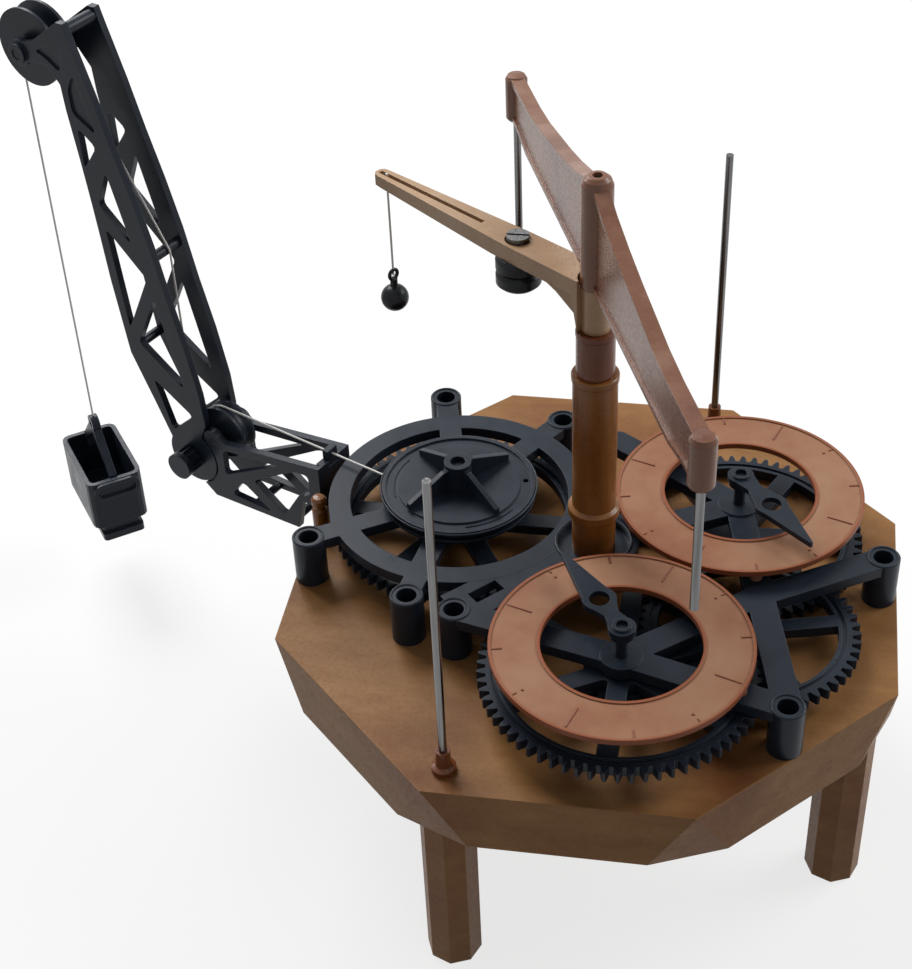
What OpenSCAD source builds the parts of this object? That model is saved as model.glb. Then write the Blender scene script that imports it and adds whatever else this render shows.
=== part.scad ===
// Desk clock with a flying pendulum ball, driven by a bucket on a thread that hangs from a small crane.
// Everything is drawn about the clock's upright column, with the top of the deck at height zero,
// and place() then moves it so that the feet stand at height zero under the middle of the whole object.

/* [Deck and legs] */
// Width of the eight-sided deck across its flats
deck_af = 155.8; // [154:0.2:160]
// Thickness of the deck
deck_t = 18; // [16:0.5:22]
// How far each corner facet reaches along the bottom edges
facet_reach = 10.8; // [6:0.2:11]
// Height of a leg below the deck
leg_h = 51; // [51:1:64]
// Width of an eight-sided leg across its flats
leg_af = 13; // [10:0.5:13.4]
// Distance of the legs from the column
leg_r = 73.2; // [68:0.2:73.2]

/* [Gear plate] */
// Height of the plate's underside above the deck
plate_z = 10.65; // [10.65:0.05:10.7]
// Thickness of the plate
plate_t = 3; // [2.8:0.05:3]
// Outer radius of the plate's posts
post_r = 4.3; // [4:0.1:4.4]
// Radius of the hole down each post
post_hole_r = 2.6; // [2.5:0.1:2.8]
// Outer radius of the ring round the drum
ring_r = 34.8; // [34.2:0.1:35]
// Inner radius of the ring round the drum
ring_hole_r = 29; // [27:0.5:30]
// Width of the plate's arms
arm_w = 7; // [5:0.5:7.5]
// Radius of the recess that the column stands in
recess_r = 9.2; // [8:0.1:9.4]

/* [Going train] */
// Tooth size (pitch diameter over number of teeth)
gear_m = 1; // [1:1:1]
// Thickness of the wheels and pinions
gear_t = 2.8; // [2.4:0.1:2.8]
// Radius of the steel spindle in the column
spindle_r = 1.2; // [1:0.05:1.2]
// Radius of the arbors that carry the hands
arbor_r = 1.5; // [1.3:0.05:1.6]

/* [Drum] */
// Distance of the drum from the column
drum_dist = 40; // [40:1:40]
// Direction of the drum from the column
drum_dir = 159.2; // [159:0.1:159.4]
// Radius of the drum's discs
drum_r = 20.3; // [18:0.1:21]
// Radius of the core that the thread winds on
core_r = 5.6; // [5.5:0.05:5.65]
// Height of the winder's hub top
winder_z = 25; // [23:0.5:27]
// Reach of the winder's vanes
vane_r = 16.5; // [14:0.5:18]

/* [Dials and hands] */
// Outer radius of a dial ring
dial_r = 32; // [30:0.5:32]
// Radius of the hole in a dial ring
dial_hole_r = 19.5; // [18:0.5:21]
// Thickness of a dial ring
dial_t = 1.5; // [1.2:0.1:1.8]
// Height of the dials' top face
dial_z = 18.1; // [17.6:0.1:18.6]
// Height of the hands' top face
hand_z = 23.3; // [22:0.1:24]
// Direction of the minute hand
minute_dir = 125; // [100:1:150]
// Direction of the hour hand
hour_dir = -53; // [-80:1:-30]

/* [Column and escapement] */
// Radius of the column's lower tube
tube_r = 5.57; // [5:0.05:6]
// Radius of the column's upper tube
tube2_r = 4.75; // [4.4:0.05:5]
// Direction of the ball arm
ball_dir = 144.4; // [140:0.2:150]
// Distance of the ball's thread from the column
ball_dist = 70.6; // [70.4:0.1:70.6]
// Radius of the flying ball
ball_r = 3.7; // [3.2:0.05:3.7]
// Height of the ball's centre
ball_z = 57.2; // [52:0.2:58]
// Direction of the bridge's front arm
bridge_dir = -68.5; // [-72:0.5:-64]
// Distance of the hanging rods from the column
rod_dist = 78.5; // [78.4:0.1:79]
// Radius of the steel rods
rod_r = 1; // [0.9:0.05:1]
// Height of the hanging rods' lower ends
rod_low_z = 60.8; // [58:0.2:64]
// Distance of the standing poles from the column
pole_dist = 75.6; // [75.6:0.1:75.8]
// Height of the standing poles' tops
pole_z = 87.75; // [80:0.25:88.5]

/* [Crane] */
// Thickness of the crane's side plates
side_t = 2; // [1.8:0.1:2]
// Width of the crane over both side plates
crane_w = 13.5; // [13.4:0.1:14]
// Distance of the crane's near side plate from the column's axis
crane_y = 16.4; // [16.3:0.1:16.4]
// Width of the truss members
member_w = 2.6; // [2:0.1:3]
// Radius of the elbow pulley
elbow_pulley_r = 8; // [7:0.1:8]
// Radius of the tip pulley
tip_pulley_r = 10.75; // [9:0.25:11]
// Radius of the knob at the elbow
knob_r = 4; // [3.4:0.1:5]

/* [Threads and bucket] */
// Thickness of the thread
thread_d = 0.6; // [0.5:0.05:0.8]
// Length of the bucket
bucket_l = 28.3; // [22:0.1:30]
// Width of the bucket
bucket_w = 17.3; // [15:0.1:19]
// Depth of the bucket's box
bucket_h = 17; // [14:0.5:20]
// Height of the bucket's rim
rim_z = -26; // [-40:0.5:-24]
// Thickness of the bucket's walls
wall_t = 1.4; // [1:0.1:1.8]

/* [Hidden] */
$fn = 48;

eps = 0.05;
fit = 0.05;
plate_top = plate_z + plate_t;
deck_ar = deck_af / 2 / cos(22.5);
level_1 = 0.6;
level_2 = 3.9;
level_3 = 7.2;

function pol(r, a) = [r * cos(a), r * sin(a)];
function dir(p, q) = atan2(q[1] - p[1], q[0] - p[0]);
// Point at distances rp and rq from p and q, on the right of the way from p to q
function meet(p, q, rp, rq) =
    let (d = norm(q - p), a = (rp * rp - rq * rq + d * d) / (2 * d), u = (q - p) / d)
    p + a * u + sqrt(rp * rp - a * a) * [u[1], -u[0]];

// Tooth numbers; the minute hand turns twelve times for one turn of the hour hand
great_n = 66;
centre_low_n = 14;
centre_high_n = 17;
minute_n = 68;
minute_pin_n = 18;
mid_n = 54;
mid_pin_n = 16;
hour_n = 64;

column_p = [0, 0];
drum_p = pol(drum_dist * gear_m, drum_dir);
minute_p = pol((centre_high_n + minute_n) / 2 * gear_m, -74.8);
hour_p = [36.1, 19.4];
mid_p = meet(minute_p, hour_p, (minute_pin_n + mid_n) / 2 * gear_m, (mid_pin_n + hour_n) / 2 * gear_m);

// Posts round the drum, then posts of the dial side
post_drum = [[-48.2, 56.6], [-73.6, -7.5], [-44.1, -26.4], [-14, 49.8]];
post_main = [[-31.5, -30], [73.2, 2.5], [51.1, -53]];
junction_p = [43.1, -15.5];

// Crane plane: x outward along the crane, y across it, seen from the column
crane_dir = 154;
near_y = crane_y - side_t;
far_y = crane_y - crane_w;
mid_y = crane_y - crane_w / 2;
elbow = [125, -1];
elbow_wheel = [116.6, 8];
tip = [166.5, 114.4];
lug_r = 8.5;
groove_r = tip_pulley_r - 4;
thread_r = thread_d / 2;
thread_x = tip[0] + groove_r + 0.5;
thread_z = plate_top + 1.75;
drum_x = drum_dist * cos(drum_dir - crane_dir);
// Bar of the upper boom that the thread bends over, and the roller on the elbow bolt
bar = [131, 62.6];
bar_r = 1.5;
roller_r = 4.15;
// Distances of the thread's middle from the middles of what it lies on, from the drum to the tip
wheel_lay = thread_z - elbow_wheel[1];
roller_lay = 3.8;
bar_lay = bar_r + 0.45;
tip_lay = thread_x - tip[0];
// Directions, from those middles, in which the straight stretches touch
touch_1 = dir(elbow_wheel, elbow) + acos((wheel_lay + roller_lay) / norm(elbow - elbow_wheel));
touch_2 = dir(elbow, bar) - acos((roller_lay + bar_lay) / norm(bar - elbow));
touch_3 = dir(bar, tip) + acos((bar_lay - tip_lay) / norm(tip - bar));

bucket_p = [thread_x * cos(crane_dir) - mid_y * sin(crane_dir),
    thread_x * sin(crane_dir) + mid_y * cos(crane_dir)];
bucket_dir = -54.5;
bail_z = rim_z + 15;

// Middle of the whole object, from the bucket's far corner to the deck's flats
low_x = bucket_p[0] - bucket_l / 2 * abs(cos(bucket_dir)) - bucket_w / 2 * abs(sin(bucket_dir));
high_y = bucket_p[1] + bucket_l / 2 * abs(sin(bucket_dir)) + bucket_w / 2 * abs(cos(bucket_dir));
shift = [-(low_x + deck_af / 2) / 2, -(high_y - deck_af / 2) / 2, leg_h + deck_t];

// Side view of the lower boom, along the crane and up; it steps down past the deck's corner
boom_foot = 77.7;
step_x = deck_ar + 0.5;
lower_out = [[boom_foot, 14], [boom_foot, 0], [step_x, 0], [step_x + 2.2, -10.6], [118, -12.6], [123, -8.6],
    [126.5, -3], [118.4, 2.4], [119.2, 6], [115, 10], [112.4, 8.3]];
lower_windows = [[[113.2, 6], [113.2, -3], [92.5, 8.9]], [[111.5, -9.4], [106.8, -2.9], [step_x + 11.8, -9.4]],
    [[102.6, -0.6], [step_x + 7.2, -8.4], [max(step_x, boom_foot + 5) + 0.6, 2.2], [boom_foot + 4, 2.6],
        [boom_foot + 4, 10.2], [boom_foot + 9.4, 9.4]]];

// Side view of the upper boom, up its inner edge and down its outer edge
upper_out = [[118.6, 12], [119.4, 22], [122.4, 37], [126.3, 52], [129.6, 67], [133.6, 81], [138, 94.5],
    [142, 108], [147, 123], [148.2, 126.8], [150.6, 126.7], [161.3, 118.8], [167.6, 116.8],
    [167.2, 112], [156.7, 113.6], [152.9, 108.9], [152.4, 101.8], [150.5, 87.6], [149, 74.4],
    [148, 63.7], [146.9, 51.2], [143.9, 28.1], [137.4, 13.8], [132.3, 2.1], [127, -2.4], [121, 6.9]];
upper_windows = [[[123, 13.6], [136.4, 21.8], [131.6, 5.6]], [[124.6, 22.4], [131.2, 50.2], [139.8, 33]],
    [[132.6, 56.4], [145.4, 68.4], [142.4, 37]], [[141.6, 86.6], [136.2, 66], [146.4, 75.2]],
    [[149.3, 97.6], [143.6, 93.2], [149.2, 85.4]]];
upper_recesses = [[[150.4, 108.4], [150.2, 101.4], [142.6, 97.2], [147.6, 113]],
    [[150, 121.6], [160.4, 116.6], [157, 115.6], [152, 112.4]]];

module place() {
    translate(shift) children();
}

module at(p, z) {
    translate([p[0], p[1], z]) children();
}

// Turns the side view's x and y into along and up, as a slab from y0 to y0 + t across the crane
module slab(y0, t) {
    translate([0, y0 + t, 0]) rotate([90, 0, 0]) linear_extrude(t) children();
}

module crane() {
    rotate([0, 0, crane_dir]) children();
}

// Round bar across the crane
module across(p, y0, t, r) {
    translate([p[0], y0 + t, p[1]]) rotate([90, 0, 0]) cylinder(r = r, h = t);
}

module tube(r, hole, h) {
    difference() {
        cylinder(r = r, h = h);
        translate([0, 0, -1]) cylinder(r = hole, h = h + 2);
    }
}

// Straight bar with square ends between two points
module strut(p, q, w, z, h) {
    at(p, z) rotate([0, 0, dir(p, q)]) translate([0, -w / 2, 0]) cube([norm(q - p), w, h]);
}

// Teeth with curved flanks; angles are half widths of a tooth, in degrees
function inv(a) = tan(a) * 180 / PI - a;
function flank(n, r) =
    let (rb = n * gear_m / 2 * cos(20))
    90 / n * 0.88 + inv(20) - (r > rb ? inv(acos(rb / r)) : 0);
function tooth(n) =
    let (rp = n * gear_m / 2, rf = rp - 1.3 * gear_m, ra = rp + 0.92 * gear_m,
        rb = max(rp * cos(20), rf + 0.25), relief = n < 20 ? 0.72 : 1)
    [[rf, -flank(n, rb) * relief], [rb, -flank(n, rb)], [rp, -flank(n, rp)],
        [(rp + ra) / 2, -flank(n, (rp + ra) / 2)], [ra, -flank(n, ra)],
        [ra, flank(n, ra)], [(rp + ra) / 2, flank(n, (rp + ra) / 2)],
        [rp, flank(n, rp)], [rb, flank(n, rb)], [rf, flank(n, rb) * relief]];
// Turn of wheel j that meshes with wheel i, which has a tooth at angle ph
function mesh(ph, a, ni, nj) = a + 180 + 180 / nj - (ph - a) * ni / nj;

module teeth(n, turn, h) {
    linear_extrude(h) polygon([for (i = [0:n - 1]) for (p = tooth(n)) pol(p[0], p[1] + turn + 360 * i / n)]);
}

module pinion(p, n, turn, z, hole) {
    at(p, z) difference() {
        teeth(n, turn, gear_t);
        translate([0, 0, -1]) cylinder(r = hole, h = gear_t + 2);
    }
}

// Wheel with a rim, a hub and spokes
module wheel(p, n, turn, z, hole, hub, spokes, w) {
    rim = n * gear_m / 2 - 4.6;
    at(p, z) difference() {
        teeth(n, turn, gear_t);
        translate([0, 0, -1]) cylinder(r = hole, h = gear_t + 2);
        difference() {
            translate([0, 0, -1]) tube(rim, hub, gear_t + 2);
            for (i = [0:spokes - 1])
                rotate([0, 0, turn + 360 * i / spokes]) translate([0, -w / 2, -2]) cube([rim + 1, w, gear_t + 4]);
        }
        translate([0, 0, gear_t - 0.5]) tube(rim + 2, rim + 0.9, 1);
    }
}

// Sweeps an eight-sided ring along route points; sideways is any direction off the route
module thread(route, side) {
    n = len(route);
    tan_at = [for (i = [0:n - 1])
        let (a = route[max(i - 1, 0)], b = route[min(i + 1, n - 1)]) (b - a) / norm(b - a)];
    rings = [for (i = [0:n - 1])
        let (t = tan_at[i], u = cross(side, t) / norm(cross(side, t)), v = cross(t, u))
        for (k = [0:7]) route[i] + thread_r * (cos(45 * k) * u + sin(45 * k) * v)];
    sides = [for (i = [0:n - 2]) for (k = [0:7])
        let (a = 8 * i + k, b = 8 * i + (k + 1) % 8)
        [a, a + 8, b + 8, b]];
    polyhedron(rings, concat([[for (k = [0:7]) k]], sides, [[for (k = [7:-1:0]) 8 * (n - 1) + k]]));
}

// Opening with its corners rounded off
function before(w, i) = w[(i + len(w) - 1) % len(w)];
function after(w, i) = w[(i + 1) % len(w)];
function way(a, b) = (b - a) / norm(b - a);
function soften(w, c) = [for (i = [0:len(w) - 1])
    for (q = [w[i] + c * way(w[i], before(w, i)), w[i] + c / 3.2 * (way(w[i], before(w, i)) + way(w[i], after(w, i))),
        w[i] + c * way(w[i], after(w, i))]) q];

module windows(list) {
    for (w = list) polygon(soften(w, member_w / 2));
}

module deck() {
    lean = atan(facet_reach * cos(67.5) / deck_t);
    color("tan") place() difference() {
        rotate([0, 0, 22.5]) translate([0, 0, -deck_t]) cylinder(r = deck_ar, h = deck_t, $fn = 8);
        for (i = [0:7])
            rotate([0, 0, 22.5 + 45 * i]) translate([deck_ar, 0, 0]) rotate([0, lean, 0])
                translate([0, -20, -30]) cube([10, 40, 31]);
        for (p = concat(post_drum, post_main)) at(p, -8) cylinder(r = 1.2, h = 9);
        translate([0, 0, -4]) cylinder(r = spindle_r + fit, h = 5);
        at(drum_p, -4) cylinder(r = 2 + fit, h = 5);
        at(minute_p, -4) cylinder(r = arbor_r + fit, h = 5);
        at(hour_p, -4) cylinder(r = arbor_r + fit, h = 5);
        at(mid_p, -6) cylinder(r = 1.6, h = 7);
        at(pol(pole_dist, -111.4), -8) cylinder(r = rod_r, h = 9);
        at(pol(pole_dist, 69), -8) cylinder(r = rod_r, h = 9);
    }
}

module leg(a) {
    color("tan") place() rotate([0, 0, a]) translate([leg_r, 0, -deck_t - leg_h]) rotate([0, 0, 22.5])
        cylinder(r = leg_af / 2 / cos(22.5), h = leg_h, $fn = 8);
}

module leg_front() { leg(-112.5); }
module leg_right() { leg(-22.5); }
module leg_rear() { leg(67.5); }
module leg_left() { leg(157.5); }

module post(p) {
    at(p, 0) cylinder(r = post_r, h = plate_top);
}

module post_bore(p) {
    at(p, 3) cylinder(r = post_hole_r, h = plate_top);
    at(p, -1) cylinder(r = 1.2, h = 5);
}

module drum_plate() {
    color("slategray") place() difference() {
        union() {
            at(drum_p, plate_z) tube(ring_r, ring_hole_r, plate_t);
            at(drum_p, plate_z) cylinder(r = 5.5, h = plate_t);
            for (p = post_drum) strut(drum_p, p, 6, plate_z, plate_t);
            for (p = post_drum) post(p);
        }
        for (p = post_drum) post_bore(p);
        at(drum_p, plate_z - 1) cylinder(r = 2 + fit, h = plate_t + 2);
        translate([0, 0, plate_z - 1]) cylinder(r = recess_r, h = plate_t + 2);
    }
}

module main_plate() {
    color("slategray") place() difference() {
        union() {
            translate([0, 0, plate_z]) cylinder(r = recess_r + 2.4, h = plate_t);
            strut(post_main[0], column_p, 12, plate_z, plate_t);
            strut(post_main[0], minute_p, arm_w, plate_z, plate_t);
            strut(minute_p, post_main[2], arm_w, plate_z, plate_t);
            strut(minute_p, junction_p, arm_w, plate_z, plate_t);
            strut(junction_p, post_main[2], arm_w, plate_z, plate_t);
            strut(junction_p, post_main[1], arm_w, plate_z, plate_t);
            strut(hour_p, junction_p, arm_w, plate_z, plate_t - 0.2);
            strut(column_p, hour_p, arm_w, plate_z, plate_t);
            strut([2, 43], hour_p, arm_w, plate_z, plate_t);
            at(junction_p, plate_z) cylinder(r = arm_w / 2, h = plate_t);
            at([2, 43], plate_z) cylinder(r = arm_w / 2, h = plate_t);
            at(minute_p, plate_z) cylinder(r = 5.2, h = plate_t + 0.3);
            at(hour_p, plate_z) cylinder(r = 5.4, h = plate_t + 0.3);
            for (p = post_main) post(p);
        }
        difference() {
            at(drum_p, plate_z - 1) cylinder(r = ring_r, h = plate_t + 2);
            translate([0, 0, plate_z - 2]) cylinder(r = recess_r, h = plate_t + 4);
        }
        translate([0, 0, plate_z + 1]) cylinder(r = recess_r, h = plate_t);
        strut([-27.5, -25.5], [-21.5, -19.5], 4, plate_z - 1, plate_t + 2);
        translate([0, 0, plate_z - 1]) cylinder(r = spindle_r + fit, h = 3);
        for (p = post_main) post_bore(p);
        at(minute_p, plate_z - 1) cylinder(r = arbor_r + fit, h = plate_t + 2);
        at(hour_p, plate_z - 1) cylinder(r = arbor_r + fit, h = plate_t + 2);
    }
}

module plate_screws() {
    color("dimgray") place() for (p = concat(post_drum, post_main)) {
        at(p, -8) cylinder(r = 1.2, h = 11);
        at(p, 3) difference() {
            cylinder(r = 2.3, h = 1.8);
            translate([-3, -0.3, 1.1]) cube([6, 0.6, 1]);
        }
    }
}

module column_lower() {
    color("peru") place() translate([0, 0, plate_z + 1]) rotate_extrude()
        polygon([[spindle_r + fit, 0], [tube_r, 0], [tube_r, 11.6], [tube_r + 1, 12.2], [tube_r + 1, 14.2],
            [tube_r, 15], [tube_r, 53.4], [tube_r + 0.3, 53.7], [tube_r + 0.3, 55.1], [tube_r, 55.4],
            [spindle_r + fit, 55.4]]);
}

module column_upper() {
    color("rosybrown") place() translate([0, 0, plate_z + 56.4]) rotate_extrude()
        polygon([[spindle_r + fit, 0], [tube2_r, 0], [tube2_r, 11], [tube2_r + 0.15, 11.2],
            [tube2_r + 0.15, 12.2], [tube2_r, 12.6], [spindle_r + fit, 12.6]]);
}

module dial(p, turn) {
    color("darksalmon") place() at(p, dial_z - dial_t) rotate([0, 0, turn]) {
        difference() {
            tube(dial_r, dial_hole_r, dial_t);
            translate([0, 0, dial_t - 0.3]) tube(dial_r - 0.8, dial_hole_r + 0.8, 1);
        }
    }
}

module peg(p, r, a) {
    at(p + pol(r, a), plate_top) cylinder(r = 1.6, h = dial_z - dial_t - plate_top + 0.4);
}

module dial_minute() {
    dial(minute_p, 0);
    color("darksalmon") place() {
        peg(minute_p, 28.5, dir(minute_p, post_main[0]));
        peg(minute_p, 30, dir(minute_p, post_main[2]));
        peg(minute_p, 29, dir(minute_p, junction_p));
    }
}

module dial_hour() {
    dial(hour_p, 0);
    color("darksalmon") place() {
        peg(hour_p, 29.5, dir(hour_p, [2, 43]));
        peg(hour_p, 29, dir(hour_p, junction_p));
        peg(hour_p, 29.5, dir(hour_p, [0, 0]));
    }
}

module pole(a) {
    color("silver") place() at(pol(pole_dist, a), -8) cylinder(r = rod_r, h = pole_z + 8);
}

module pole_front() { pole(-111.4); }
module pole_rear() { pole(69); }

module ferrule(a) {
    color("sienna") place() at(pol(pole_dist, a), 0) rotate_extrude()
        polygon([[rod_r, 0], [3, 0], [3, 1.4], [1.9, 1.9], [1.75, 6.5], [rod_r, 6.5]]);
}

// Turned peg on the deck's rim beside the crane's foot
module rim_peg() {
    color("sienna") place() at([-75.3, 11.2], 0) rotate_extrude()
        polygon([[0, 0], [2.1, 0], [2.1, 7.4], [1.6, 8], [1.6, 8.8], [2.1, 9.3], [2.1, 10.8], [1.5, 11.6], [0, 11.8]]);
}

module ferrule_front() { ferrule(-111.4); }
module ferrule_rear() { ferrule(69); }

module lower_side() {
    difference() {
        union() {
            polygon(lower_out);
            translate(elbow) circle(r = lug_r);
            translate(elbow_wheel) circle(r = 3);
        }
        windows(lower_windows);
    }
}

// The two booms' lugs are halved: the lower boom keeps the inner half of each side plate
module lower_boom_near() {
    color("slategray") place() crane() difference() {
        union() {
            slab(near_y, side_t) lower_side();
            translate([boom_foot, far_y + side_t, 0]) cube([2.2, near_y - far_y - side_t, 14]);
            translate([boom_foot, far_y + side_t, 0]) cube([5, near_y - far_y - side_t, 1.6]);
            across([step_x + 4.7, -9.6], far_y + side_t, near_y - far_y - side_t, 1.2);
            across([104, -10.8], far_y + side_t, near_y - far_y - side_t, 1.2);
        }
        across(elbow, near_y + side_t / 2 - eps, 5, lug_r + 0.6);
        across(elbow, near_y - 1, 5, 1.5);
        across(elbow_wheel, near_y - 1, 5, 1.2);
        translate([boom_foot - 7, mid_y - 2, 12]) cube([20, 4, 5]);
    }
}

module lower_boom_far() {
    color("slategray") place() crane() difference() {
        slab(far_y, side_t) lower_side();
        across(elbow, far_y - 5 + side_t / 2 + eps, 5, lug_r + 0.6);
        across(elbow, far_y - 1, 5, 1.5);
        across(elbow_wheel, far_y - 1, 5, 1.2);
    }
}

// Saddle on the boom's cross plate that the drum's thread runs through
module thread_guide() {
    color("dimgray") place() crane() difference() {
        translate([boom_foot + 0.2, mid_y - 2, 12]) cube([1.8, 4, 5]);
        translate([boom_foot - 7, mid_y, thread_z]) rotate([0, 90, 0]) cylinder(r = thread_r - 0.02, h = 20);
    }
}

// Points on a circle from one direction to another, in n steps
function arc(c, r, a, b, n) = [for (i = [0:n]) c + pol(r, a + (b - a) * i / n)];

// From the drum over the elbow pulley and back under the roller
module drum_thread() {
    color("gainsboro") place() crane()
        thread([for (p = concat([for (x = [drum_x:7.7:112]) [x, thread_z]],
            arc(elbow_wheel, wheel_lay, 90, touch_1, 9),
            arc(elbow, roller_lay, touch_1 + 180, touch_2 + 336, 9))) [p[0], mid_y, p[1]]], [0, 1, 0]);
}

module elbow_axle() {
    color("silver") place() crane() across(elbow_wheel, far_y, crane_w, 1.2);
}

module elbow_bolt() {
    color("silver") place() crane() across(elbow, far_y - 1.5, crane_w + 5.5, 1.5);
}

module intermediate_pin() {
    color("silver") place() at(mid_p, -6) cylinder(r = 1.6, h = level_3 - 0.3 + 6);
}

module spindle() {
    color("silver") place() translate([0, 0, -3.5]) cylinder(r = spindle_r, h = 123.5);
}

module centre_pinion_low() {
    color("slategray") place()
        pinion(column_p, centre_low_n, mesh(0, dir(drum_p, column_p), great_n, centre_low_n), level_2, spindle_r);
}

module centre_pinion_high() {
    color("slategray") place() pinion(column_p, centre_high_n, 0, level_3, spindle_r);
}

module ball_arm() {
    top_z = 94;
    color("tan") place() rotate([0, 0, ball_dir]) difference() {
        union() {
            intersection() {
                slab(-5, 10) polygon([[2, 79.8], [2, top_z], [73.9, top_z], [73.9, 91], [31, 89.6], [4, 89.6]]);
                translate([0, 0, 70]) linear_extrude(30)
                    polygon([[2, -4.5], [25, -4.2], [71, -2], [73, -1.8], [73.9, -0.8], [73.9, 0.8], [73, 1.8],
                        [71, 2], [25, 4.2], [2, 4.5]]);
            }
            slab(-1, 2) polygon([[2, 80.4], [5, 81], [12, 85.4], [18.5, 88], [19.5, 90], [2, 90]]);
            translate([0, 0, 79.8]) cylinder(r = 3.5, h = 13);
        }
        translate([0, 0, 70]) cylinder(r = spindle_r, h = 30);
        translate([0, 0, 92]) cylinder(r = 4.4, h = 5);
        rotate([0, 0, bridge_dir + 180 - ball_dir]) translate([0, -2.1, 92.2]) cube([30, 4.2, 5]);
        translate([25, 0, 80]) cylinder(r = 1.5, h = 20);
        translate([25, 0, 93]) cylinder(r = 3.2, h = 5);
        translate([36.6, -0.6, 85]) cube([36.3, 1.2, 12]);
    }
}

module weight(z, h) {
    color("#202020") place() at(pol(25, ball_dir), z) rotate_extrude()
        polygon([[1.5, 0], [4.7, 0], [5.6, 0.9], [5.6, h - 0.9], [4.7, h], [1.5, h]]);
}

module weight_upper() { weight(85.5, 4.1); }
module weight_lower() { weight(81.4, 4.1); }

module weight_screw() {
    color("silver") place() at(pol(25, ball_dir), 81.2) difference() {
        union() {
            cylinder(r = 1.5, h = 11.8);
            translate([0, 0, 11.8]) cylinder(r = 2.8, h = 2.2);
        }
        translate([-4, -0.35, 13.2]) cube([8, 0.7, 2]);
    }
}

module bridge() {
    side = [[0, 92.5], [62, 92.5], [72, 94.5], [rod_dist, 94.5], [rod_dist, 106.3], [60, 106.5], [50, 107.4],
        [40, 109.2], [30, 111], [20, 113.2], [10, 116], [4, 118.5], [0, 118.5]];
    upper = [[0, 118.5], [4, 118.5], [10, 116], [20, 113.2], [30, 111], [40, 109.2], [50, 107.4], [60, 106.5],
        [rod_dist, 106.3], [rod_dist, 104.9], [60, 105.1], [50, 106], [40, 107.8], [30, 109.6], [20, 111.8],
        [10, 114.6], [4, 117], [0, 117]];
    lower = [[0, 92.5], [62, 92.5], [72, 94.5], [rod_dist, 94.5], [rod_dist, 95.7], [72, 95.7], [62, 93.7], [0, 93.7]];
    color("rosybrown") place() rotate([0, 0, bridge_dir]) difference() {
        union() {
            for (s = [0, 180]) rotate([0, 0, s]) {
                slab(-1.1, 2.2) polygon(side);
                slab(-1.8, 3.6) polygon(upper);
                slab(-1.8, 3.6) polygon(lower);
                translate([rod_dist, 0, 94]) rotate_extrude()
                    polygon([[0, 0], [2.4, 0], [2.9, 0.7], [2.9, 11.6], [2.3, 12.6], [0, 12.9]]);
            }
            translate([0, 0, 92]) rotate_extrude()
                polygon([[0, 0], [3.8, 0], [3.8, 26.5], [3.2, 28], [2.2, 28.8], [0, 29]]);
        }
        translate([0, 0, 90]) cylinder(r = spindle_r, h = 40);
        for (s = [-1, 1]) translate([s * rod_dist, 0, 93]) cylinder(r = rod_r, h = 9);
    }
}

module hanging_rod(s) {
    color("silver") place() rotate([0, 0, bridge_dir]) translate([s * rod_dist, 0, rod_low_z])
        cylinder(r = rod_r, h = 102 - rod_low_z);
}

module rod_front() { hanging_rod(1); }
module rod_rear() { hanging_rod(-1); }

module flying_ball() {
    color("#151515") place() at(pol(ball_dist, ball_dir), ball_z) {
        sphere(r = ball_r);
        cylinder(r = 1, h = ball_r + 2.2);
        translate([0, 0, ball_r + 3.4]) rotate([90, 0, ball_dir + 90]) rotate_extrude()
            translate([1.35, 0]) circle(r = 0.5, $fn = 24);
    }
}

module ball_thread() {
    p = pol(ball_dist, ball_dir);
    z0 = ball_z + ball_r + 3.2;
    color("gainsboro") place() thread([for (i = [0:12]) [p[0], p[1], z0 + (94.3 - z0) * i / 12]], [1, 0, 0]);
}

module great_wheel() {
    color("slategray") place() wheel(drum_p, great_n, 0, level_2, 2, 7, 6, 5);
}

module winding_drum() {
    color("slategray") place() at(drum_p, plate_top + 0.3) difference() {
        union() {
            cylinder(r = drum_r, h = 0.8);
            cylinder(r = core_r, h = 3);
            translate([0, 0, 2.1]) cylinder(r = drum_r, h = 1.55);
        }
        translate([0, 0, -1]) cylinder(r = 2, h = 8);
        translate([0, 0, 3.15]) tube(drum_r - 1, drum_r - 4, 1);
        rotate([0, 0, 12]) translate([17.8, 0, 1.5]) cylinder(r = 0.8, h = 4);
    }
}

module winder() {
    z0 = plate_top + 3.95;
    color("slategray") place() at(drum_p, 0) difference() {
        union() {
            translate([0, 0, z0]) cylinder(r = 3.6, h = winder_z - z0);
            for (i = [0:3]) rotate([0, 0, 47 + 90 * i]) slab(-0.7, 1.4)
                polygon([[0, z0], [vane_r, z0], [vane_r, z0 + 1.6], [5, winder_z - 1.2], [0, winder_z - 1.2]]);
        }
        translate([0, 0, z0 - 1]) cylinder(r = 2, h = 20);
    }
}

module drum_arbor() {
    color("silver") place() at(drum_p, -3.5) cylinder(r = 2, h = winder_z - 1.5 + 3.5);
}

module minute_arbor() {
    color("silver") place() at(minute_p, -3.5) cylinder(r = arbor_r, h = hand_z - 0.4 + 3.5);
}

module minute_wheel() {
    a = dir(column_p, minute_p);
    color("slategray") place()
        wheel(minute_p, minute_n, mesh(0, a, centre_high_n, minute_n), level_3, arbor_r, 6, 6, 5);
}

module minute_pinion() {
    color("slategray") place() pinion(minute_p, minute_pin_n, 0, level_2, arbor_r);
}

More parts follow.
